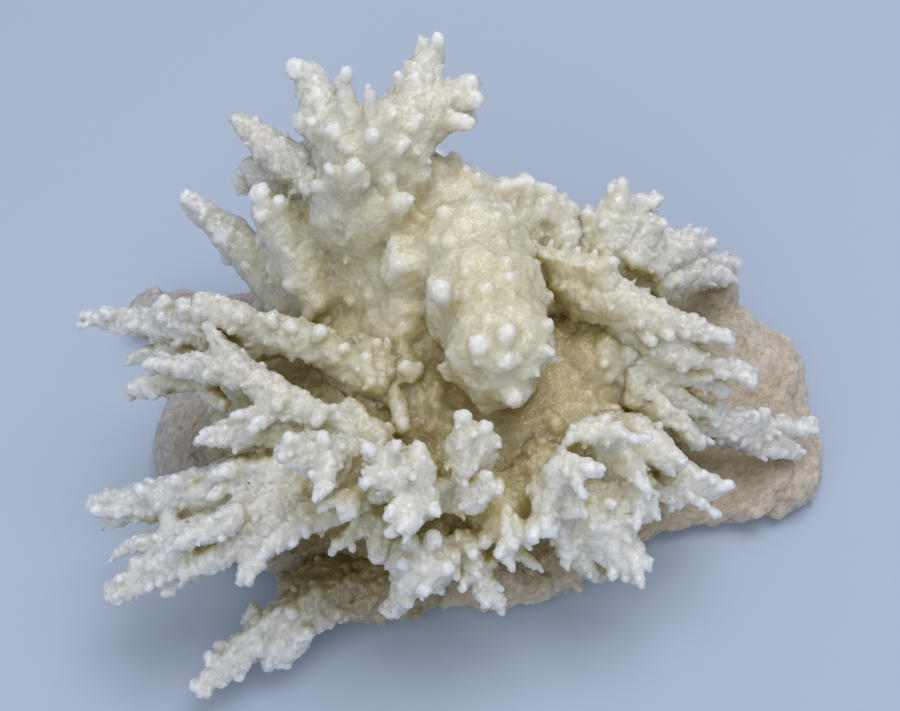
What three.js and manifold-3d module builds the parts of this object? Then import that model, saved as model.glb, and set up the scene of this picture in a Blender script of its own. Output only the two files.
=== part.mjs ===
// A cave aragonite cluster: knobbly, coral-like limbs that radiate from a mound on a plate of matrix.
// Millimetres, +Z up. The cluster rests on the cut flat under its plate, at z = 0.
import * as THREE from 'three';
import { mergeVertices } from 'three/addons/utils/BufferGeometryUtils.js';
import Module from 'manifold-3d';

const wasm = await Module();
wasm.setup();

// Driving dimensions.
const FORK_GAP = 0.45; // growth line kept open between two pieces at a fork
const TABLE_SIZE = 400; // side of the block that cuts the underside flat
const LUMPINESS = 0.1; // how far a facet corner of a lump strays from its ellipsoid, as a share of the radius
const KNOBBLINESS = 0.16; // the same for the corners of a branch
const RING_STEP = 20; // spacing of a branch's rings along its path
const SLIM = 8.5; // a branch thinner than this at its root has fewer sides
const SIDES = { stout: 5, slim: 4 };
const TIP_POINT = 0.35; // how far the end of a branch stands past its last ring, as a share of the tip radius
const ROOT_POINT = 0.2;

// The plate and the mound, seen from above and anticlockwise from +X, with their levels as [share of the
// outline, height]. The peak is the height of the middle.
const PLATE_OUTLINE = [
  [113, 0], [112, 24], [101, 38], [90, 50], [72, 60], [48, 66], [20, 64], [-8, 66], [-36, 60], [-60, 48],
  [-79, 43], [-97, 40], [-94, 30], [-86, 16], [-90, -2], [-90, -21], [-76, -38], [-60, -51], [-30, -57],
  [-3, -60], [14, -61], [30, -58], [44, -50], [60, -38], [76, -34], [90, -36], [104, -32], [116, -17],
];
const PLATE_LEVELS = [[0.95, 0], [1, 4], [0.98, 9], [0.88, 14], [0.6, 18]];
const PLATE_PEAK = 20;
const MOUND_OUTLINE = [
  [72, 0], [66, 22], [48, 38], [26, 46], [2, 48], [-24, 46], [-46, 38], [-60, 22], [-70, 4], [-76, -16],
  [-68, -36], [-50, -48], [-28, -54], [-6, -57], [18, -56], [38, -48], [56, -35], [68, -20],
];
const MOUND_LEVELS = [[1, 8], [0.98, 19], [0.89, 33], [0.68, 46], [0.38, 54]];
const MOUND_PEAK = 57;
const ROUGHNESS = 0.05; // how far a corner of the plate or mound strays, as a share of its reach

const aragonite = new THREE.MeshStandardMaterial({ color: 0xeae6d8, roughness: 0.55, metalness: 0 });
const matrix = new THREE.MeshStandardMaterial({ color: 0xd9cdb6, roughness: 0.65, metalness: 0 });

// A repeatable number from -1 to 1 for any few numbers.
function jitter(...seeds) {
  const mixed = seeds.reduce((sum, seed, k) => sum + Math.round(seed * 100) * (1.27 + 2.39 * k), 0);
  const wave = Math.sin(mixed) * 43758.5453;
  return 2 * (wave - Math.floor(wave)) - 1;
}

function solid(geometry) {
  geometry.deleteAttribute('normal');
  geometry.deleteAttribute('uv');
  const merged = mergeVertices(geometry, 1e-4);
  return new wasm.Manifold(
    new wasm.Mesh({
      numProp: 3,
      vertProperties: new Float32Array(merged.attributes.position.array),
      triVerts: new Uint32Array(merged.index.array),
    }),
  );
}

// A broad rise: its outline, stacked at each level and closed over the peak.
function mound(outline, levels, peak) {
  return (grow) => {
    const middle = new THREE.Vector3(0, 0, peak);
    const geometry = new THREE.CylinderGeometry(1, 1, 1, outline.length, levels.length - 1);
    const at = geometry.attributes.position;
    for (let i = 0; i < at.count; i++) {
      const level = Math.round((at.getY(i) + 0.5) * (levels.length - 1));
      const turn = Math.atan2(at.getX(i), at.getZ(i)) / (2 * Math.PI);
      const corner = Math.round(turn * outline.length + outline.length) % outline.length;
      const [share, height] = levels[level];
      const onAxis = Math.hypot(at.getX(i), at.getZ(i)) < 0.5;
      const reach = share * (1 + ROUGHNESS * jitter(level, corner, peak));
      const place = new THREE.Vector3(...outline[corner], 0).multiplyScalar(reach);
      place.addScaledVector(place.clone().normalize(), grow).setZ(height + (level > 0 ? grow : -grow));
      if (onAxis) place.copy(middle).setZ(level > 0 ? peak + grow : height - grow);
      at.setXYZ(i, place.x, place.y, place.z);
    }
    return solid(geometry);
  };
}

// A rounded mass: an ellipsoid whose corners stray in and out. Detail 0 gives 20 facets, 1 gives 80.
function lump(centre, radii, detail = 1) {
  return (grow) => {
    const geometry = new THREE.IcosahedronGeometry(1, detail);
    const corner = new THREE.Vector3();
    const at = geometry.attributes.position;
    for (let i = 0; i < at.count; i++) {
      corner.fromBufferAttribute(at, i);
      const stray = 1 + LUMPINESS * jitter(corner.x, corner.y, corner.z, centre[0] + centre[1]);
      at.setXYZ(
        i,
        centre[0] + corner.x * (radii[0] * stray + grow),
        centre[1] + corner.y * (radii[1] * stray + grow),
        centre[2] + corner.z * (radii[2] * stray + grow),
      );
    }
    return solid(geometry);
  };
}

// A knobbly finger through `stations`, root first: each one is its x, y, z and radius.
function branch(...stations) {
  return (grow) => {
    const line = new THREE.CatmullRomCurve3(stations.map(([x, y, z]) => new THREE.Vector3(x, y, z)));
    const girth = stations.map((station) => station[3]);
    const sides = girth[0] > SLIM ? SIDES.stout : SIDES.slim;
    const rings = Math.max(stations.length - 1, Math.round(line.getLength() / RING_STEP));
    const geometry = new THREE.CylinderGeometry(1, 1, 1, sides, rings);
    const whole = line.getPoint(1).sub(line.getPoint(0)).normalize();
    const across = Math.abs(whole.x) < 0.6 ? new THREE.Vector3(1, 0, 0) : new THREE.Vector3(0, 1, 0);
    const at = geometry.attributes.position;
    for (let i = 0; i < at.count; i++) {
      const t = at.getY(i) + 0.5;
      const offAxis = Math.hypot(at.getX(i), at.getZ(i));
      const angle = Math.atan2(at.getX(i), at.getZ(i));
      const tangent = line.getTangent(t);
      const side = across.clone().cross(tangent).normalize();
      const front = tangent.clone().cross(side);
      const step = Math.min(Math.floor(t * (girth.length - 1)), girth.length - 2);
      const radius = THREE.MathUtils.lerp(girth[step], girth[step + 1], t * (girth.length - 1) - step);
      const knob = 1 + KNOBBLINESS * jitter(t, Math.cos(angle), Math.sin(angle), girth[0] + stations[1][1]);
      const reach = offAxis * (radius * knob + grow);
      const place = line.getPoint(t);
      place.addScaledVector(side, reach * Math.cos(angle)).addScaledVector(front, reach * Math.sin(angle));
      const point = t > 0.5 ? radius * TIP_POINT + grow : -radius * ROOT_POINT - grow;
      if (offAxis < 0.5) place.addScaledVector(tangent, point);
      at.setXYZ(i, place.x, place.y, place.z);
    }
    return solid(geometry);
  };
}

const limbs = {
  // The plate of matrix that everything grew on, flat beneath, with nubs along its edge.
  matrix_plate: [
    mound(PLATE_OUTLINE, PLATE_LEVELS, PLATE_PEAK),
    lump([85.5, 45.5, 15], [10, 12, 11], 0), // upper right lobe
    lump([95.5, 14.5, 9], [16, 19, 12], 0), // right shoulder
    lump([97, -20.5, 9], [16, 13, 10], 0), // right corner
    lump([-85.5, 40.5, 8], [10, 8, 8], 0), // rear left knob
    lump([-98.5, 40.5, 8], [8, 8, 8], 0), // rear left knob
    lump([14.5, -50, 7], [28, 15, 10], 0), // front edge
    lump([-74.5, -10.5, 7], [15, 20, 11], 0), // left edge
  ],

  // The sugary mound over the plate, where all the limbs spring from.
  core_mound: [
    mound(MOUND_OUTLINE, MOUND_LEVELS, MOUND_PEAK),
    lump([-14, 21, 46], [27, 25, 27], 0), // rear shoulder
    lump([43, 1, 36], [31, 27, 27], 0), // right shoulder
    lump([24, -23.5, 36], [29, 17, 20], 0), // front body
    lump([-9, -21, 38], [17, 14, 17], 0), // front left body
    lump([-12.5, 0, 50], [13, 12, 14], 0),
    lump([-8.5, 23, 60], [15, 14, 17]),
    branch([-12, -11.5, 54, 3], [-10, -21, 60, 2.4]), // knob
    branch([-16.5, -19, 51, 3.3], [-14, -30, 57, 2.4], [-12.5, -35.5, 58, 1.6]), // hanging finger
  ],

  // The stout rounded column that climbs from the front of the mound towards the crown.
  front_column: [
    lump([8.5, 3.5, 48], [22, 20, 24], 0),
    lump([0, 34, 63], [18, 15, 17]),
    lump([5, 13.5, 69], [18, 15, 17]),
    lump([9, -3, 71], [17, 15, 16]),
    lump([13, -18.5, 71], [16, 12, 14]),
    lump([13, -27, 66], [10, 8, 10], 0),
    branch([0, -10, 80, 3.4], [-2, -15.5, 90, 2.5]),
    lump([5, 47, 58], [9, 7, 8], 0),
    branch([4.5, 43.5, 64, 2.9], [4.5, 44, 70, 1.5]),
    branch([7, 41.5, 64, 2.6], [8.5, 42.5, 69, 1.5]),
  ],

  // The crown: a trunk that leans up and back, with fingers over its top.
  crown_limb: [
    lump([-29, 28.5, 48], [20, 20, 22], 0),
    lump([-24, 29.5, 72], [18, 17, 17]),
    lump([-22.5, 34, 86], [15, 14, 14], 0),
    // upper left finger
    branch([-29, 33.5, 86, 7.7], [-35, 43, 96, 6.8], [-38, 50, 100, 5.2], [-39, 53.5, 101, 3.8]),
    branch([-27, 39, 92, 4.4], [-28, 43, 100, 2.7], [-29, 48, 104, 1.6]),
    branch([-19.5, 29.5, 94, 5.9], [-20.5, 36, 102, 3.2], [-22, 42.5, 104, 1.1]),
    branch([-15, 20.5, 78, 5.5], [-12, 17, 88, 2.9]),
    branch([-27, 22.5, 86, 7], [-25, 20.5, 94, 4]),
  ],

  crown_left_arm: [
    // long finger
    branch([-30, 29.5, 78, 9.5], [-46.5, 40, 80, 6.8], [-56.5, 48.5, 82, 3.7], [-61, 53, 82, 2.6]),
    branch([-37.5, 32.5, 70, 8.5], [-54.5, 44, 70, 6.4], [-59, 46.5, 70, 4.1]),
    branch([-32.5, 35, 66, 8.7], [-50, 45.5, 64, 5.3], [-64, 48, 62, 2.1]),
  ],

  crown_right_arm: [
    // tall finger
    branch([-16, 31.5, 86, 9.3], [-10.5, 44.5, 94, 8.8], [-7, 57.5, 98, 4.7], [-4.5, 64, 101, 3.6]),
    branch([-11, 41, 90, 9.4], [0, 49.5, 92, 6.7], [6, 52.5, 92, 3.9]), // side finger
    branch([1.5, 52.5, 92, 4.5], [6.5, 55, 95, 2.2]),
    branch([-3, 48.5, 88, 5], [6, 48.5, 86, 2]),
  ],

  // Two stout horns behind the left side.
  left_rear_limb: [
    lump([-38.5, 17, 44], [18, 15, 17], 0),
    branch([-38, 14, 48, 11.6], [-46.5, 24, 64, 7.7], [-51, 26.5, 72, 5.9], [-54, 28.5, 74, 4.2]),
    branch([-46, 23.5, 66, 5.7], [-47, 27.5, 75, 2.8]),
    branch([-44.5, 14.5, 40, 9.8], [-62.5, 36, 46, 6.3], [-71, 40, 52, 5.4], [-79.5, 47, 56, 2.4]),
  ],

  // The long comb of fingers that reaches furthest to the left.
  left_upper_limb: [
    lump([-22, -14.5, 46], [16, 14, 16], 0),
    branch(
      [-14.5, -17, 45, 6.1], [-26.5, -15.5, 56, 5.4], [-38, -10.5, 62, 6.5], [-70.5, -6.5, 64, 6.5],
      [-91, -2.5, 60, 3.9], [-103.5, 0, 58, 1.9],
    ),
    branch([-53.5, -9.5, 68, 5.9], [-65, -6, 72, 3.5], [-68, -5, 72, 2.1]),
    lump([-59, -11, 60], [12, 10, 6], 0),
    branch([-68.5, -7.5, 58, 5.5], [-82, -11.5, 56, 2.5], [-88, -10.5, 54, 1.7]),
    branch([-59, -17, 60, 7], [-78, -20.5, 56, 4.6], [-87, -21.5, 54, 2.2]),
    branch([-54.5, -24, 68, 3.6], [-64.5, -11, 70, 1.6]),
    branch(
      [-17, -41, 56, 6.8], [-38.5, -34.5, 66, 4.6], [-52, -26.5, 68, 5.2], [-64.5, -21.5, 66, 4.2],
      [-79, -21, 66, 2.1],
    ),
    branch([-27.5, -31, 62, 4.7], [-24.5, -37.5, 60, 3.1], [-24.5, -40.5, 58, 2.1]),
    branch([-41.5, -32.5, 64, 4.1], [-48.5, -39.5, 68, 2.5], [-49.5, -43.5, 68, 1.3]),
  ],

  left_lower_limb: [
    lump([-28.5, -39, 42], [18, 14, 16], 0),
    branch([-24, -36, 50, 8], [-42, -35, 58, 6.8], [-56.5, -39, 62, 5.1], [-63.5, -42, 62, 1.8]),
    branch(
      [-26.5, -43, 46, 9.6], [-47, -46, 50, 8.9], [-65.5, -48.5, 48, 6.8], [-81.5, -51, 45, 4.5],
      [-95, -49.5, 42, 3.7],
    ),
    branch([-74, -51, 44, 4.2], [-87, -54, 42, 1.8], [-92, -54.5, 41, 1.3]),
    branch(
      [-30.5, -48, 44, 9], [-49, -57.5, 48, 8.3], [-67, -65.5, 44, 5.7], [-77.5, -69, 40, 5.2],
      [-87.5, -74.5, 38, 3.3],
    ),
    branch([-61, -58, 46, 4.7], [-78, -60, 42, 3.6], [-87.5, -62.5, 40, 1.6]),
    branch([-55, -64.5, 48, 5.1], [-63, -69.5, 48, 3.5], [-67, -71.5, 48, 2.8]),
    branch([-53, -60, 56, 4.5], [-64.5, -66, 56, 3.5], [-70.5, -68.5, 54, 1.2]),
  ],

  front_left_limb: [
    lump([-21, -42, 47], [15, 12, 15], 0),
    branch([-19, -47, 58, 6.7], [-32, -52, 72, 6.4], [-40.5, -55.5, 79, 2.9]),
    branch([-29.5, -52, 72, 4.9], [-30, -59.5, 76, 3.8], [-30, -63.5, 76, 1.9]),
    branch(
      [-23.5, -49.5, 50, 5.7], [-35.5, -58, 52, 5.1], [-44.5, -64, 50, 3.6], [-49.5, -69.5, 48, 1.5],
    ),
    branch([-19.5, -49, 54, 5.2], [-23.5, -59.5, 64, 3.9], [-26.5, -65, 66, 2.9]),
    branch([-18.5, -53, 48, 4.2], [-25.5, -61.5, 48, 2.3], [-29, -64, 48, 1.5]),
    branch([-18.5, -53, 48, 5.2], [-19, -62, 46, 3.3], [-19, -67, 44, 2.3]),
    branch([-27.5, -47, 48, 4.2], [-39, -48, 50, 3.1], [-47.5, -47, 50, 1]),
  ],

  // The single heavy finger that lies low over the front left of the plate.
  low_limb: [
    lump([-18.5, -57.5, 12], [20, 14, 11], 0),
    lump([-33.5, -61, 12], [16, 11, 10], 0),
    branch(
      [-22.5, -58, 14, 8.4], [-44.5, -70, 16, 7.1], [-54, -78, 15, 5.7], [-60.5, -83.5, 14, 4.6],
      [-67.5, -89, 13, 2.4],
    ),
    branch([-50.5, -76.5, 18, 4.3], [-58.5, -79, 16, 2.7], [-62.5, -78.5, 16, 1.6]),
    branch([-46, -76.5, 15, 3.8], [-49.5, -82.5, 11, 2.4]),
    branch([-40, -74.5, 15, 4.4], [-45, -80.5, 11, 2.4]),
  ],

  // The bristling middle of the front.
  front_limb: [
    lump([-2.5, -45.5, 40], [14, 11, 14], 0),
    branch([1.5, -54, 52, 7.7], [3, -48.5, 66, 6.5], [3, -47.5, 76, 2.9], [2.5, -46, 80, 1]),
    branch([5, -52, 64, 5.5], [8, -48, 72, 3.9], [8.5, -47, 76, 2]),
    branch([5, -57, 58, 6.5], [10.5, -57, 66, 3], [13, -58.5, 68, 1.5]),
    branch([-5, -55, 54, 7.7], [-12.5, -57, 68, 7.4], [-16.5, -55, 76, 4.1], [-16.5, -53.5, 78, 2.9]),
    branch([-6, -55.5, 66, 5.9], [-8, -53, 72, 3.4], [-8, -49.5, 74, 1.5]),
    branch([-10, -57, 68, 5.9], [-16.5, -60.5, 76, 2.9], [-20, -63, 78, 1.7]),
    branch([-7.5, -57.5, 64, 6.4], [-12, -65, 70, 3.6], [-15, -68.5, 72, 1.9]),
    branch([-7.5, -57.5, 64, 5], [-9.5, -67.5, 70, 3.1], [-11, -73.5, 72, 1.6]),
    branch([-1.5, -53, 40, 8], [-5.5, -63.5, 44, 6.2]),
    lump([-6.5, -67.5, 44], [8.5, 8.5, 8.5]), // ball
    branch([-2.5, -59, 40, 6.3], [-9, -70, 42, 4.6], [-14, -73.5, 34, 3.6], [-16, -74.5, 28, 2.4]),
    branch([2.5, -61, 44, 6.2], [6.5, -68, 44, 4.6], [10.5, -72.5, 38, 3.4], [13.5, -75, 34, 2.1]),
    lump([11, -51.5, 37], [16, 13, 16], 0),
    branch([13, -53.5, 46, 6.3], [14.5, -65.5, 50, 3], [14, -70, 48, 2]),
    branch([13, -55, 46, 5.2], [18.5, -63.5, 50, 2]),
  ],

  front_right_limb: [
    lump([24.5, -38.5, 38], [14, 12, 14], 0),
    branch([24.5, -52, 54, 7.7], [27.5, -49.5, 64, 5], [33.5, -53.5, 68, 3], [36.5, -57, 70, 1.7]),
    branch([24.5, -55, 54, 5.1], [24.5, -64, 52, 2]),
    branch([28.5, -54, 52, 4.6], [33.5, -59, 54, 1.5]),
    branch([28.5, -54.5, 48, 5.7], [30.5, -61.5, 42, 3.1], [31, -65, 38, 2.4]),
    branch([35, -45.5, 42, 9.6], [41, -54.5, 42, 8.4], [48, -61, 38, 3.7], [52, -65, 36, 1.8]),
    branch([39.5, -56, 40, 6.3], [46, -65, 34, 3.7], [50.5, -67.5, 30, 1.3]),
    branch([29, -55.5, 44, 6.8], [36, -61, 32, 4.8], [41, -64, 26, 2.4]),
  ],

  right_lower_limb: [
    lump([43.5, -30.5, 38], [14, 12, 15], 0),
    branch([41, -37.5, 50, 6.4], [37, -40.5, 62, 5.1], [33, -41.5, 66, 3.3], [30, -43.5, 66, 1.5]),
    branch([38.5, -40.5, 62, 5.1], [43, -41.5, 66, 2.5], [46, -43.5, 66, 1.5]),
    branch([43.5, -39, 50, 5.3], [49, -49, 54, 3.1], [51, -53, 54, 1.5]),
    branch([45.5, -39.5, 48, 6.4], [49, -50, 48, 5.2], [50, -55, 46, 3.4], [52.5, -56, 44, 1.8]),
    branch([46, -30, 48, 6], [53, -36, 52, 5.8], [58, -42.5, 52, 4.5], [61, -43, 50, 2.9]),
    branch([51, -42.5, 42, 4.8], [57.5, -47, 42, 2.7], [62, -47.5, 38, 1.6]),
    branch([57, -39, 42, 5.9], [67, -42.5, 42, 4.8], [74, -43, 38, 3.5]),
  ],

  // The long fingers that sweep down over the right half of the plate.
  right_long_limb: [
    lump([40.5, 8.5, 46], [19, 16, 18], 0),
    branch([21.5, 18, 60, 6.3], [31.5, 10, 68, 5.8], [43, 3.5, 75, 4.3]),
    branch([33.5, 8.5, 62, 9.5], [45, 0, 66, 6.8], [58, -6.5, 66, 4], [75.5, -9.5, 62, 1.9]),
    branch([47, -2, 60, 7.4], [60, -11, 58, 5.5], [72.5, -13.5, 56, 3.3], [83.5, -13.5, 52, 2.2]),
    branch([52.5, -9.5, 54, 6.3], [66.5, -14.5, 50, 3.9], [78, -17, 46, 1.9]),
    branch([48, -7.5, 46, 8.5], [56.5, -16.5, 48, 4.4], [75, -21.5, 40, 1.7]),
    branch([49, -13, 44, 6.7], [59, -24, 46, 4.9], [70, -30, 40, 2.5]),
    branch([65, -19, 38, 6.2], [84, -19.5, 33, 4.6], [98.5, -17, 28, 3.2], [106.5, -14, 24, 2.1]),
    branch([77, -20.5, 32, 5.7], [92.5, -22, 26, 4.6], [102, -21.5, 22, 2.6]),
  ],

  right_rear_limb: [
    lump([46.5, 31, 45], [19, 15, 19], 0),
    branch([44, 24, 52, 10], [47, 32.5, 62, 7], [49, 37, 68, 4], [49.5, 40.5, 70, 1.7]),
    branch([46.5, 28.5, 60, 6.4], [54.5, 37.5, 64, 2.9], [60.5, 39.5, 64, 1.8]),
    branch([43.5, 28.5, 58, 6.4], [41, 33.5, 62, 3.2], [39.5, 36.5, 62, 1.8]),
    branch([52.5, 24, 52, 10.5], [57.5, 31.5, 58, 7], [58.5, 33.5, 62, 4.1]),
    branch([56.5, 27, 46, 10.7], [69, 33.5, 48, 6.6], [79.5, 37.5, 46, 2.1]),
    branch([59.5, 22.5, 42, 9], [72.5, 28, 42, 5.4], [85.5, 32, 36, 2.8]),
    branch([67, 27.5, 38, 6.7], [79, 37.5, 34, 5.6], [91.5, 44, 28, 2.9]),
  ],

  // The low crest of nubs between the column and the right rear limb.
  rear_ridge: [
    lump([18, 34, 58], [15, 12, 14], 0),
    lump([32.5, 31.5, 52], [15, 12, 14], 0),
    branch([18, 35, 66, 7.5], [16.5, 35, 72, 4.3], [16, 35.5, 74, 2.8]),
    branch([20.5, 36.5, 66, 6.4], [22, 37.5, 72, 3.7], [22, 38, 74, 2.6]),
    branch([26, 32.5, 64, 6.9], [27.5, 36.5, 68, 3.5], [27.5, 37.5, 70, 2.3]),
    branch([30.5, 32.5, 60, 6.4], [32, 36.5, 64, 3.2], [32.5, 39, 64, 2]),
  ],

  // Short fingers on the rear flank of the mound.
  rear_limb: [
    lump([4, 42, 32], [24, 15, 18], 0), // rear flank
    branch([0, 46, 42, 6.5], [-4, 62, 50, 5.5], [-7, 73, 52, 2.2]), // upper finger
    branch([12, 46, 38, 6.5], [19, 62, 40, 5], [23, 71, 37, 2]),
    branch([-12, 44, 36, 6.5], [-22, 58, 36, 5], [-28, 65, 31, 2]),
    branch([4, 48, 30, 7], [4, 64, 27, 5.5], [2, 74, 20, 2.2]),
    branch([20, 42, 28, 6.5], [32, 53, 24, 5], [38, 58, 17, 2]),
  ],
};

const block = new THREE.BoxGeometry(TABLE_SIZE, TABLE_SIZE, TABLE_SIZE).translate(0, 0, -TABLE_SIZE / 2);
const underTable = solid(block);

const joined = (parts, grow) => parts.map((make) => make(grow)).reduce((whole, part) => whole.add(part));

// The largest body of a solid: a chip that a neighbour cuts free is left out.
const mainBody = (body) => body.decompose().sort((a, b) => b.volume() - a.volume())[0];

function meshOf(name, body, material) {
  const { numProp, numVert, vertProperties, triVerts } = body.getMesh();
  const corners = new Float32Array(numVert * 3);
  for (let i = 0; i < numVert; i++) corners.set(vertProperties.subarray(i * numProp, i * numProp + 3), i * 3);
  const geometry = new THREE.BufferGeometry();
  geometry.setAttribute('position', new THREE.BufferAttribute(corners, 3));
  geometry.setIndex(new THREE.BufferAttribute(triVerts, 1));
  const mesh = new THREE.Mesh(geometry, material);
  mesh.name = name;
  return mesh;
}

const cluster = new THREE.Group();
const grown = [];
for (const [name, parts] of Object.entries(limbs)) {
  let body = joined(parts, 0).subtract(underTable);
  for (const earlier of grown) body = body.subtract(earlier);
  cluster.add(meshOf(name, mainBody(body), name === 'matrix_plate' ? matrix : aragonite));
  grown.push(joined(parts, FORK_GAP));
}

// The origin is on the table, under the middle of the cluster's box.
const middle = new THREE.Box3().setFromObject(cluster).getCenter(new THREE.Vector3());
cluster.position.set(-middle.x, -middle.y, 0);

export default cluster;
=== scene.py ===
import math
import random

import bmesh
import bpy
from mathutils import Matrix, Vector
from mathutils.bvhtree import BVHTree


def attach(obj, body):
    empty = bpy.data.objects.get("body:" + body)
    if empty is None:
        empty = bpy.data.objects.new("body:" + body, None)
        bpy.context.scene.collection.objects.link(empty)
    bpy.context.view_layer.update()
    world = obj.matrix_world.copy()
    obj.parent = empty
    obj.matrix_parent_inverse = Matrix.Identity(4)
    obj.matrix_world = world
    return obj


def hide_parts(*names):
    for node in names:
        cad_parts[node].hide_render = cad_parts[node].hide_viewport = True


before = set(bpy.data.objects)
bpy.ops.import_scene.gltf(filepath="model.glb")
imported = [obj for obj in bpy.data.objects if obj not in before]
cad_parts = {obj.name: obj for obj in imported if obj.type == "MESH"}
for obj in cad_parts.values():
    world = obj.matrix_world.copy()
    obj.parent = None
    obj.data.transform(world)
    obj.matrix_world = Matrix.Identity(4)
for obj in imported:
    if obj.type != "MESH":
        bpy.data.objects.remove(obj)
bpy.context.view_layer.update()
mm = 0.001
print("frame loaded:", len(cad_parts), "nodes")


# Small helpers for node trees.

def addNode(tree, kind, inputs=None, **settings):
    made = tree.nodes.new(kind)
    for name, value in settings.items():
        setattr(made, name, value)
    for key, value in (inputs or {}).items():
        if isinstance(value, bpy.types.NodeSocket):
            tree.links.new(value, made.inputs[key])
        else:
            made.inputs[key].default_value = value
    return made


def calc(tree, operation, *values):
    return addNode(tree, "ShaderNodeMath", dict(enumerate(values)), operation=operation).outputs[0]


def vectorCalc(tree, operation, *values):
    made = addNode(tree, "ShaderNodeVectorMath", dict(enumerate(values)), operation=operation)
    return made.outputs["Value" if operation in ("DOT_PRODUCT", "LENGTH") else "Vector"]


def vectorScale(tree, vector, factor):
    return addNode(tree, "ShaderNodeVectorMath", {0: vector, "Scale": factor}, operation="SCALE").outputs[0]


def newGeometryTree(name, floats=(), vectors=(), integers=(), materials=(), objects=()):
    tree = bpy.data.node_groups.new(name, "GeometryNodeTree")
    kinds = (
        ("NodeSocketGeometry", ["Geometry"]), ("NodeSocketFloat", floats), ("NodeSocketVector", vectors),
        ("NodeSocketInt", integers), ("NodeSocketMaterial", materials), ("NodeSocketObject", objects),
    )
    for kind, labels in kinds:
        for label in labels:
            tree.interface.new_socket(label, in_out="INPUT", socket_type=kind)
    tree.interface.new_socket("Geometry", in_out="OUTPUT", socket_type="NodeSocketGeometry")
    return tree, tree.nodes.new("NodeGroupInput").outputs


def closeTree(tree, geometry, material):
    realized = addNode(tree, "GeometryNodeRealizeInstances", {"Geometry": geometry}).outputs[0]
    dressed = addNode(tree, "GeometryNodeSetMaterial", {
        "Geometry": realized, "Material": material,
    }).outputs[0]
    tree.links.new(dressed, tree.nodes.new("NodeGroupOutput").inputs[0])


def addTree(piece, tree, values):
    modifier = piece.modifiers.new(tree.name, "NODES")
    modifier.node_group = tree
    for item in tree.interface.items_tree:
        if item.in_out == "INPUT" and item.name in values:
            modifier[item.identifier] = values[item.name]


# Growth: buds and side spurs that stand on a limb and lean towards its tip.

growthHabit = {
    "fineness": 2, "swirlPerMetre": 130.0, "facing": 0.15, "stray": 0.4, "mostPerSquareMetre": 4e5,
    "budSizes": (0.5, 1.15), "budSeed": 0.0, "spurSizes": (0.6, 1.25), "spurSeed": 7.0,
    "spurSides": 5, "spurDepth": 1.3, "spurSunk": 0.3,
}


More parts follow.
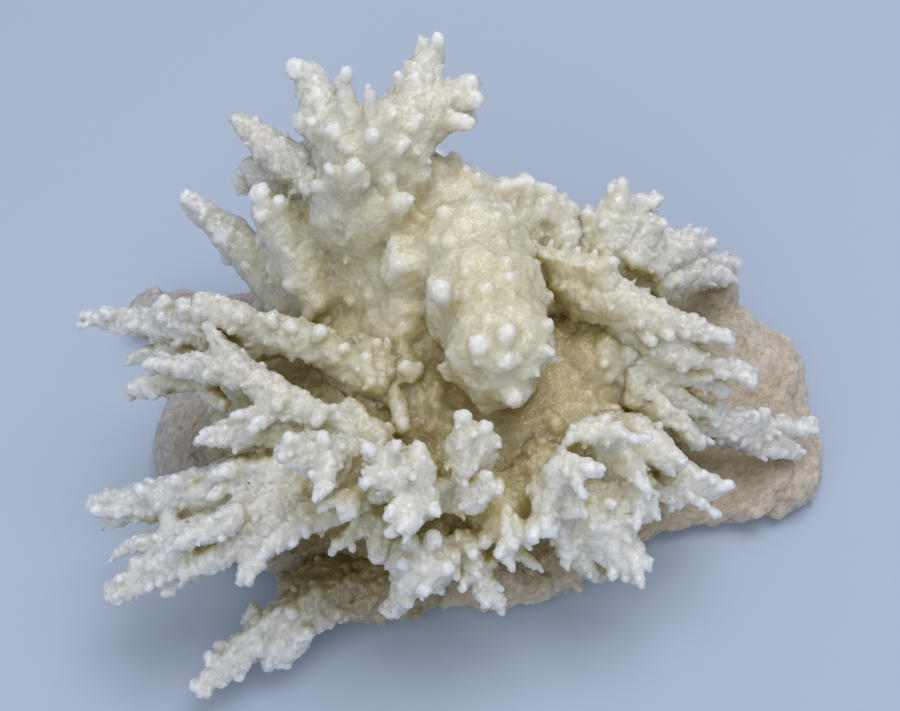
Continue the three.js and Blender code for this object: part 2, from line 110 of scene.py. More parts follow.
def buildGrowthTree():
    tree, given = newGeometryTree(
        "growth",
        floats=["Swell", "Wander", "Bud spacing", "Bud size", "Spur spacing", "Spur length", "Spur width",
                "Spur point", "Lean", "Seam reach", "Seam depth"],
        vectors=["Root"], integers=["Seed"], materials=["Material"], objects=["Others"],
    )
    finer = addNode(tree, "GeometryNodeSubdivisionSurface", {
        "Mesh": given["Geometry"], "Level": growthHabit["fineness"],
    }).outputs[0]
    place = addNode(tree, "GeometryNodeInputPosition").outputs[0]
    normal = addNode(tree, "GeometryNodeInputNormal").outputs[0]
    swirl = addNode(tree, "ShaderNodeTexNoise", {
        "Vector": place, "Scale": growthHabit["swirlPerMetre"], "Detail": 1.0,
    }, normalize=False).outputs["Color"]
    fuller = vectorScale(tree, normal, given["Swell"])
    strayed = vectorScale(tree, swirl, given["Wander"])
    bent = addNode(tree, "GeometryNodeSetPosition", {
        "Geometry": finer, "Offset": vectorCalc(tree, "ADD", fuller, strayed),
    }).outputs[0]

    # what looks at another limb and is near it sinks into it
    others = addNode(tree, "GeometryNodeObjectInfo", {"Object": given["Others"]}).outputs["Geometry"]
    nearest = addNode(tree, "GeometryNodeProximity", {
        0: others, "Source Position": place,
    }, target_element="FACES").outputs
    across = vectorCalc(tree, "SUBTRACT", nearest["Position"], place)
    towards = vectorCalc(tree, "NORMALIZE", across)
    turnedTo = vectorCalc(tree, "DOT_PRODUCT", normal, towards)
    facing = calc(tree, "GREATER_THAN", turnedTo, growthHabit["facing"])
    isNear = calc(tree, "LESS_THAN", nearest["Distance"], given["Seam reach"])
    inside = vectorCalc(tree, "ADD", across, vectorScale(tree, towards, given["Seam depth"]))
    bent = addNode(tree, "GeometryNodeSetPosition", {
        "Geometry": bent, "Offset": vectorScale(tree, inside, calc(tree, "MULTIPLY", facing, isNear)),
    }).outputs[0]
    fromRoot = vectorCalc(tree, "NORMALIZE", vectorCalc(tree, "SUBTRACT", place, given["Root"]))
    leaning = vectorScale(tree, fromRoot, given["Lean"])

    def stand(shape, spacing, width, length, sizes, seedShift):
        seed = calc(tree, "ADD", given["Seed"], seedShift)
        points = addNode(tree, "GeometryNodeDistributePointsOnFaces", {
            "Mesh": bent, "Distance Min": spacing, "Density Max": growthHabit["mostPerSquareMetre"],
            "Seed": seed,
        }, distribute_method="POISSON")
        most = growthHabit["stray"]
        stray = addNode(tree, "FunctionNodeRandomValue", {
            0: (-most, -most, -most), 1: (most, most, most), "Seed": seed,
        }, data_type="FLOAT_VECTOR").outputs[0]
        way = vectorCalc(tree, "ADD", vectorCalc(tree, "ADD", points.outputs["Normal"], leaning), stray)
        turned = addNode(tree, "FunctionNodeAlignRotationToVector", {"Vector": way}, axis="Z").outputs[0]
        size = addNode(tree, "FunctionNodeRandomValue", {2: sizes[0], 3: sizes[1], "Seed": seed}).outputs[1]
        thick = calc(tree, "MULTIPLY", width, size)
        long = calc(tree, "MULTIPLY", length, calc(tree, "MULTIPLY", size, size))
        scale = addNode(tree, "ShaderNodeCombineXYZ", {0: thick, 1: thick, 2: long}).outputs[0]
        return addNode(tree, "GeometryNodeInstanceOnPoints", {
            "Points": points.outputs["Points"], "Instance": shape, "Rotation": turned, "Scale": scale,
        }).outputs[0]

    bud = addNode(tree, "GeometryNodeMeshIcoSphere", {"Radius": 1.0, "Subdivisions": 1}).outputs[0]
    spur = addNode(tree, "GeometryNodeMeshCone", {
        "Vertices": growthHabit["spurSides"], "Radius Top": given["Spur point"], "Radius Bottom": 1.0,
        "Depth": growthHabit["spurDepth"],
    }).outputs[0]
    spur = addNode(tree, "GeometryNodeTransform", {
        "Geometry": spur, "Translation": (0, 0, -growthHabit["spurSunk"]),
    }).outputs[0]
    buds = stand(bud, given["Bud spacing"], given["Bud size"], given["Bud size"],
                 growthHabit["budSizes"], growthHabit["budSeed"])
    spurs = stand(spur, given["Spur spacing"], given["Spur width"], given["Spur length"],
                  growthHabit["spurSizes"], growthHabit["spurSeed"])
    together = addNode(tree, "GeometryNodeJoinGeometry")
    for shape in (bent, buds, spurs):
        tree.links.new(shape, together.inputs[0])
    closeTree(tree, together.outputs[0], given["Material"])
    return tree


# Crust: knobs at three sizes and small flat faces raised along the normal, and what the finish needs to know,
# such as how much sky each point sees, which the finish turns into painted shade in hollows.

crustHabit = {
    "seedStep": 0.31, "swirlPerMetre": 260.0, "swirl": 0.0011,
    "domeRise": 0.45, "knobsFrom": 0.45, "knobsFull": 0.85,
    "tipBlur": 40, "openBlur": 8, "skyRays": 18, "skyReach": 0.045, "startGap": 0.0014,
    "outward": 0.55, "upward": 0.45, "spread": 0.96,  # what a look at the sky is made of
}


def spreadDirections(count):  # evenly over a ball
    for k in range(count):
        height = 1 - (2 * k + 1) / count
        turn = k * math.pi * (3 - math.sqrt(5))
        girth = math.sqrt(1 - height * height)
        yield girth * math.cos(turn), girth * math.sin(turn), height


def buildCrustTree():
    tree, given = newGeometryTree(
        "crust",
        floats=["Lump size", "Lump height", "Knob size", "Knob height", "Grain size", "Grain height",
                "Face size", "Face slope", "Calm"],
        vectors=["Heart", "Reach"], integers=["Seed"], materials=["Material"], objects=["Neighbours"],
    )
    place = addNode(tree, "GeometryNodeInputPosition").outputs[0]
    normal = addNode(tree, "GeometryNodeInputNormal").outputs[0]
    shifted = vectorCalc(tree, "ADD", place, addNode(tree, "ShaderNodeCombineXYZ", {
        0: calc(tree, "MULTIPLY", given["Seed"], crustHabit["seedStep"]),
    }).outputs[0])
    swirl = addNode(tree, "ShaderNodeTexNoise", {
        "Vector": shifted, "Scale": crustHabit["swirlPerMetre"], "Detail": 2.0,
    }, normalize=False).outputs["Color"]
    warped = vectorCalc(tree, "ADD", shifted, vectorScale(tree, swirl, crustHabit["swirl"]))

    def cells(size):
        return addNode(tree, "ShaderNodeTexVoronoi", {
            "Vector": warped, "Scale": calc(tree, "DIVIDE", 1.0, size), "Randomness": 1.0,
        }).outputs

    def domes(kind):
        far = cells(given[kind + " size"])["Distance"]
        rise = calc(tree, "SUBTRACT", crustHabit["domeRise"], calc(tree, "MULTIPLY", far, far))
        return calc(tree, "MULTIPLY", rise, given[kind + " height"])

    def facets():  # every cell is a flat face with a tilt of its own
        cell = cells(given["Face size"])
        way = vectorCalc(tree, "SUBTRACT", cell["Color"], (0.5, 0.5, 0.5))
        inside = vectorCalc(tree, "SUBTRACT", warped, cell["Position"])
        return calc(tree, "MULTIPLY", vectorCalc(tree, "DOT_PRODUCT", inside, way), given["Face slope"])

    outward = vectorCalc(tree, "DIVIDE", vectorCalc(tree, "SUBTRACT", place, given["Heart"]), given["Reach"])
    along = vectorCalc(tree, "LENGTH", outward)
    rougher = addNode(tree, "ShaderNodeMapRange", {
        "Value": along, "From Min": crustHabit["knobsFrom"], "From Max": crustHabit["knobsFull"],
        "To Min": given["Calm"], "To Max": 1.0,
    }).outputs[0]
    raised = calc(tree, "MULTIPLY", calc(tree, "ADD", domes("Knob"), facets()), rougher)
    for kind in ("Lump", "Grain"):
        raised = calc(tree, "ADD", raised, domes(kind))
    knobbly = addNode(tree, "GeometryNodeSetPosition", {
        "Geometry": given["Geometry"], "Offset": vectorScale(tree, normal, raised),
    }).outputs[0]
    apart = addNode(tree, "ShaderNodeSeparateXYZ", {0: place}).outputs
    aboveFloor = addNode(tree, "ShaderNodeCombineXYZ", {
        0: apart[0], 1: apart[1], 2: calc(tree, "MAXIMUM", apart[2], 0.0),
    }).outputs[0]
    settled = addNode(tree, "GeometryNodeSetPosition", {
        "Geometry": knobbly, "Position": aboveFloor,
    }).outputs[0]

    def store(geometry, label, value):
        return addNode(tree, "GeometryNodeStoreNamedAttribute", {
            "Geometry": geometry, "Name": label, "Value": value,
        }, data_type="FLOAT", domain="POINT").outputs[0]

    def blur(value, rounds, kind):
        return addNode(tree, "GeometryNodeBlurAttribute", {
            "Value": value, "Iterations": rounds,
        }, data_type=kind).outputs[0]

    smoothed = blur(place, crustHabit["tipBlur"], "FLOAT_VECTOR")
    bulge = vectorCalc(tree, "DOT_PRODUCT", vectorCalc(tree, "SUBTRACT", place, smoothed), normal)
    settled = store(settled, "tip", bulge)
    settled = store(settled, "along", along)

    # how much of the sky each point sees past its neighbours, which the finish turns into painted shade in
    # hollows
    neighbours = addNode(tree, "GeometryNodeObjectInfo", {"Object": given["Neighbours"]}).outputs["Geometry"]
    start = vectorCalc(tree, "ADD", place, vectorScale(tree, normal, crustHabit["startGap"]))
    towards = vectorCalc(
        tree, "ADD", vectorScale(tree, normal, crustHabit["outward"]), (0.0, 0.0, crustHabit["upward"]))
    blocked = 0.0
    for direction in spreadDirections(crustHabit["skyRays"]):
        spread = tuple(crustHabit["spread"] * part for part in direction)
        hit = addNode(tree, "GeometryNodeRaycast", {
            "Target Geometry": neighbours, "Source Position": start,
            "Ray Direction": vectorCalc(tree, "ADD", towards, spread), "Ray Length": crustHabit["skyReach"],
        })
        blocked = calc(tree, "ADD", blocked, hit.outputs["Is Hit"])
    clear = calc(tree, "SUBTRACT", 1.0, calc(tree, "DIVIDE", blocked, float(crustHabit["skyRays"])))
    settled = store(settled, "openness", blur(clear, crustHabit["openBlur"], "FLOAT"))
    smooth = addNode(tree, "GeometryNodeSetShadeSmooth", {"Geometry": settled}).outputs[0]
    closeTree(tree, smooth, given["Material"])
    return tree


def ramp(tree, value, stops):
    made = addNode(tree, "ShaderNodeValToRGB", {0: value})
    row = made.color_ramp.elements
    for k, (at, colour) in enumerate(stops):
        element = row[k] if k < 2 else row.new(at)
        element.position = at
        element.color = (*colour, 1)
    return made.outputs["Color"]


def stretch(tree, value, low, high):
    return addNode(tree, "ShaderNodeMapRange", {"Value": value, "From Min": low, "From Max": high}).outputs[0]


# Sizes in metres that both finishes share, and how stone takes light.
sugar = {
    "mottleSize": 0.009, "mottleShare": 0.2, "blushSize": 0.03, "blushRange": (0.45, 0.75),
    "glintSize": 0.0007, "fineSize": 0.0006, "fineShare": 0.6, "crystalStrength": 0.8,
    "bendsLight": 1.53, "glowColour": (1.0, 0.92, 0.78),
}


def sugaryFinish(name, stops, blush, settings):
    material = bpy.data.materials.new(name)
    material.use_nodes = True
    tree = material.node_tree
    shader = tree.nodes["Principled BSDF"]
    place = addNode(tree, "ShaderNodeTexCoord").outputs["Object"]
    sideways, _, height = addNode(tree, "ShaderNodeSeparateXYZ", {0: place}).outputs

    def attribute(label):
        return addNode(tree, "ShaderNodeAttribute", attribute_name=label).outputs["Fac"]

    def noise(size, detail=2.0):
        return addNode(tree, "ShaderNodeTexNoise", {
            "Vector": place, "Scale": 1 / size, "Detail": detail,
        }).outputs["Fac"]

    def plusShare(white, value, share):
        return calc(tree, "ADD", white, calc(tree, "MULTIPLY", value, share))

    def tinted(colour, tint, factor):
        return addNode(tree, "ShaderNodeMix", {
            "Factor": factor, 6: colour, 7: (*tint, 1),
        }, data_type="RGBA", blend_type="MULTIPLY").outputs[2]

    # how white, with painted light and shade: more towards the tips, and painted shade where little sky is
    # seen
    white = settings["least"]
    # the shares whiten the parts far from the heart and the tips; on the tips this is partly the stone's own
    # white and partly painted light
    for label, low, high, share in settings["shares"]:
        white = plusShare(white, stretch(tree, attribute(label), low, high), share)
    # painted light and shade by height: the aragonite less white high up, the matrix whiter high up
    low, high, share = settings["heightShading"]
    white = plusShare(white, stretch(tree, height, low, high), share)
    white = plusShare(white, calc(tree, "SUBTRACT", noise(sugar["mottleSize"]), 0.5), sugar["mottleShare"])
    white = calc(tree, "MULTIPLY", white, stretch(tree, attribute("openness"), *settings["hollowShadeRange"]))

    colour = ramp(tree, white, stops)
    patches = stretch(tree, noise(sugar["blushSize"], 1.0), *sugar["blushRange"])
    colour = tinted(colour, blush, calc(tree, "MULTIPLY", patches, settings["blushShare"]))
    # painted shade: darker, warmer tints low down and close to the heart, under the overhanging limbs
    for low, high, near, far, tint in settings["paintedShades"]:  # low down and close to the heart
        lowDown, closeBy = stretch(tree, height, high, low), stretch(tree, attribute("along"), far, near)
        colour = tinted(colour, tint, calc(tree, "MULTIPLY", lowDown, closeBy))
    # painted shade and tints by side: darker and cooler towards the left, away from the light
    for fromX, toX, tint in settings["sideShadeAndTint"]:
        colour = tinted(colour, tint, stretch(tree, sideways, fromX, toX))
    tree.links.new(colour, shader.inputs["Base Color"])

    crystals = addNode(tree, "ShaderNodeTexVoronoi", {
        "Vector": place, "Scale": 1 / sugar["glintSize"],
    }).outputs
    rough = addNode(tree, "ShaderNodeMapRange", {
        "Value": addNode(tree, "ShaderNodeSeparateColor", {0: crystals["Color"]}).outputs[0],
        "To Min": settings["shiniest"], "To Max": settings["dullest"],
    }).outputs[0]
    tree.links.new(rough, shader.inputs["Roughness"])
    grain = plusShare(crystals["Distance"], noise(sugar["fineSize"]), sugar["fineShare"])
    lumpy = addNode(tree, "ShaderNodeTexVoronoi", {
        "Vector": place, "Scale": 1 / settings["crystalSize"], "Detail": 1.0,
    }).outputs["Distance"]
    bump = addNode(tree, "ShaderNodeBump", {
        "Height": calc(tree, "SUBTRACT", 1.0, lumpy), "Distance": settings["crystalDepth"],
        "Strength": sugar["crystalStrength"],
    }).outputs[0]
    bump = addNode(tree, "ShaderNodeBump", {
        "Height": grain, "Distance": settings["grainDepth"], "Strength": settings["grainStrength"],
        "Normal": bump,
    }).outputs[0]
    tree.links.new(bump, shader.inputs["Normal"])
    shader.inputs["IOR"].default_value = sugar["bendsLight"]
    shader.inputs["Subsurface Weight"].default_value = settings["glow"]
    shader.inputs["Subsurface Scale"].default_value = settings["glowDepth"]
    shader.inputs["Subsurface Radius"].default_value = sugar["glowColour"]
    return material


# A finish's stops run from the deepest hollow to the whitest tip: the dark olive end is painted shade in
# hollows, the bluish white end partly painted light on the tips. Heights, depths and sides are in metres.
aragonite = sugaryFinish(
    "aragonite",
    stops=[(0.0, (0.42, 0.33, 0.10)), (0.2, (0.48, 0.41, 0.18)), (0.4, (0.62, 0.58, 0.41)),
           (0.58, (0.675, 0.66, 0.58)), (0.76, (0.72, 0.72, 0.70)), (1.0, (0.93, 0.96, 1.0))],
    blush=(1.0, 0.94, 0.90),
    settings={
        # painted shade in hollows where little sky is seen, and painted shade on the higher parts
        "least": 0.535, "hollowShadeRange": (0.08, 0.82), "heightShading": (0.05, 0.095, -0.12),
        # painted shade: darker and cooler towards the left; a slightly darker, cooler tint towards the right
        "sideShadeAndTint": [(0.0, -0.09, (0.80, 0.82, 0.87)), (0.03, 0.08, (0.90, 0.90, 0.93))],
        # painted shade on the low flank under the front-left limbs and in the hollows beside the column
        "paintedShades": [
            (0.024, 0.036, 0.86, 1.0, (0.5, 0.44, 0.32)), (0.040, 0.062, 0.5, 0.62, (0.76, 0.65, 0.47)),
        ],
        "shares": [("along", 0.45, 0.85, 0.2), ("tip", 0.0005, 0.003, 0.4)],
        "blushShare": 0.4, "shiniest": 0.1, "dullest": 0.38, "grainDepth": 0.0003, "grainStrength": 0.35,
        "crystalSize": 0.0020, "crystalDepth": 0.0004, "glow": 1.0, "glowDepth": 0.010,
    },
)
matrix = sugaryFinish(
    "matrix",
    stops=[(0.0, (0.26, 0.18, 0.08)), (0.3, (0.43, 0.36, 0.24)), (0.6, (0.52, 0.47, 0.39)),
           (0.9, (0.62, 0.59, 0.57))],
    blush=(1.0, 0.88, 0.80),
    settings={
        # painted shade in hollows where little sky is seen, and painted light on the higher parts
        "least": 0.6, "hollowShadeRange": (0.1, 0.85), "heightShading": (0.0, 0.03, 0.1),
        # painted shade: darker and cooler towards the left
        "sideShadeAndTint": [(0.0, -0.07, (0.72, 0.77, 0.88))],
        "paintedShades": [], "shares": [("tip", 0.0, 0.003, 0.2)],
        "blushShare": 0.8, "shiniest": 0.3, "dullest": 0.6, "grainDepth": 0.0004, "grainStrength": 0.5,
        "crystalSize": 0.003, "crystalDepth": 0.0007, "glow": 0.9, "glowDepth": 0.006,
    },
)
print("finishes made")


# The camera, in millimetres and degrees, and the size of its picture, by which twigs are placed too.
viewFrom = {
    "target": (-5.42, 8.01, 40), "distance": 362, "elevation": 55, "lens": 50, "sensor": 36,
    "frame": (900, 711), "clipStart": 10,
}
growthTree = buildGrowthTree()
crustTree = buildCrustTree()


def looseCopy(nodeNames, name, mergeWithin=0.01):
    mesh = bmesh.new()
    for nodeName in nodeNames:
        mesh.from_mesh(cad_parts[nodeName].data)
    bmesh.ops.remove_doubles(mesh, verts=mesh.verts, dist=mergeWithin * mm)
    data = bpy.data.meshes.new(name)
    mesh.to_mesh(data)
    mesh.free()
    made = bpy.data.objects.new(name, data)
    bpy.context.scene.collection.objects.link(made)
    return made


def viewRay(spot):  # from the camera through a spot of its picture, as far as depth 1
    raised = math.radians(viewFrom["elevation"])
    forward = Vector((0, math.cos(raised), -math.sin(raised)))
    upward = Vector((0, math.sin(raised), math.cos(raised)))
    width, height = viewFrom["frame"]
    step = viewFrom["sensor"] / viewFrom["lens"] / width
    eye = (Vector(viewFrom["target"]) - forward * viewFrom["distance"]) * mm
    rightward = Vector((1, 0, 0)) * (spot[0] - width / 2) * step
    return eye, forward + rightward + upward * (height / 2 - spot[1]) * step


def clusterTree():  # every node's faces in one tree, with the node that each face belongs to
    corners, faces, owners = [], [], []
    for name in sorted(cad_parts):
        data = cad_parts[name].data
        first = len(corners)
        corners += [corner.co.copy() for corner in data.vertices]
        faces += [[first + k for k in face.vertices] for face in data.polygons]
        owners += [name] * len(data.polygons)
    return BVHTree.FromPolygons(corners, faces), owners


# A twig's rings: how far along each is, and how much of the foot's and of the end's radius it has.
twigShape = {
    "sides": 7, "rings": [(0, 1, 0), (0.4, 0.6, 0.45), (0.8, 0, 1.15), (1, 0, 0.75)], "wobble": (0.85, 1.15),
    "sunk": 1.2,  # how deep the foot stands in its limb, as a share of its radius
}


def addTwig(mesh, twig, dice):
    root, end, sides = twig["root"], twig["end"], twigShape["sides"]
    way = (end - root).normalized()
    side = way.orthogonal().normalized()
    other = way.cross(side)
    rings = []
    for share, footShare, endShare in twigShape["rings"]:
        middle = root.lerp(end, share)
        radius = footShare * twig["thick"] + endShare * twig["thin"]
        ring = []
        for k in range(sides):
            turn = 2 * math.pi * k / sides
            spoke = side * math.cos(turn) + other * math.sin(turn)
            ring.append(mesh.verts.new(middle + spoke * radius * mm * dice.uniform(*twigShape["wobble"])))
        rings.append(ring)
    for low, high in zip(rings, rings[1:]):
        for k in range(sides):
            mesh.faces.new((low[k - 1], low[k], high[k], high[k - 1]))
    mesh.faces.new(reversed(rings[0]))
    mesh.faces.new(rings[-1])


def grownNode(nodeName, growth, look):
    draft = looseCopy([nodeName], nodeName + "_draft")
    others = looseCopy([name for name in sorted(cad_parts) if name != nodeName], nodeName + "_others")
    addTree(draft, growthTree, {
        "Swell": growth["swell"] * mm, "Wander": growth["wander"] * mm,
        "Bud spacing": growth["budSpacing"] * mm, "Bud size": growth["budSize"] * mm,
        "Spur spacing": growth["spurSpacing"] * mm, "Spur length": growth["spurLength"] * mm,
        "Spur width": growth["spurWidth"] * mm, "Spur point": growth["spurPoint"], "Lean": growth["lean"],
        "Seam reach": look["seamReach"] * mm, "Seam depth": look["seamDepth"] * mm,
        "Root": Vector(growth["root"]) * mm, "Seed": growth["seed"], "Material": look["finish"],
        "Others": others,
    })
    data = bpy.data.meshes.new_from_object(draft.evaluated_get(bpy.context.evaluated_depsgraph_get()))
    bpy.data.objects.remove(draft)
    bpy.data.objects.remove(others)
    return data


def growPiece(name, look):
    nodes = look["nodes"]
    dice = random.Random(look["seed"])
    mesh = bmesh.new()
    for nodeName, growth in nodes.items():
        mesh.from_mesh(grownNode(nodeName, growth, look))
    for twig in twigs:
        if twig["on"] in nodes:
            addTwig(mesh, twig, dice)
    data = bpy.data.meshes.new(name + "_draft")
    mesh.to_mesh(data)
    mesh.free()
    draft = bpy.data.objects.new(name + "_draft", data)
    bpy.context.scene.collection.objects.link(draft)
    skin = draft.modifiers.new("skin", "REMESH")
    skin.mode = "VOXEL"
    skin.voxel_size = look["voxel"] * mm
    ease = draft.modifiers.new("ease", "SMOOTH")
    ease.factor = look["easeShare"]
    ease.iterations = look["ease"]
    addTree(draft, crustTree, {
        "Lump size": look["lumpSize"] * mm, "Lump height": look["lumpHeight"] * mm,
        "Knob size": look["knobSize"] * mm, "Knob height": look["knobHeight"] * mm,
        "Grain size": look["grainSize"] * mm, "Grain height": look["grainHeight"] * mm,
        "Face size": look["faceSize"] * mm, "Face slope": look["faceSlope"], "Calm": look["calm"],
        "Heart": Vector(heart["at"]) * mm, "Reach": Vector(heart["reach"]) * mm,
        "Seed": look["seed"], "Material": look["finish"], "Neighbours": neighbours,
    })
    crust = bpy.data.meshes.new_from_object(draft.evaluated_get(bpy.context.evaluated_depsgraph_get()))
    piece = bpy.data.objects.new(name, crust)
    bpy.context.scene.collection.objects.link(piece)
    bpy.data.objects.remove(draft)
    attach(piece, "root")
    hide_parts(*nodes)
    print(name, "grown:", sum(len(face.vertices) - 2 for face in crust.polygons), "triangles")


# Twigs too slim for the solids, and lumps that fill out the heart. Each has its foot and its end in the
# camera's picture, how far the end stands nearer than the foot, and the radius at both ends, in millimetres.
def twigAt(foot, end, nearer, thick, thin):
    return {"foot": foot, "end": end, "nearer": nearer, "thick": thick, "thin": thin}


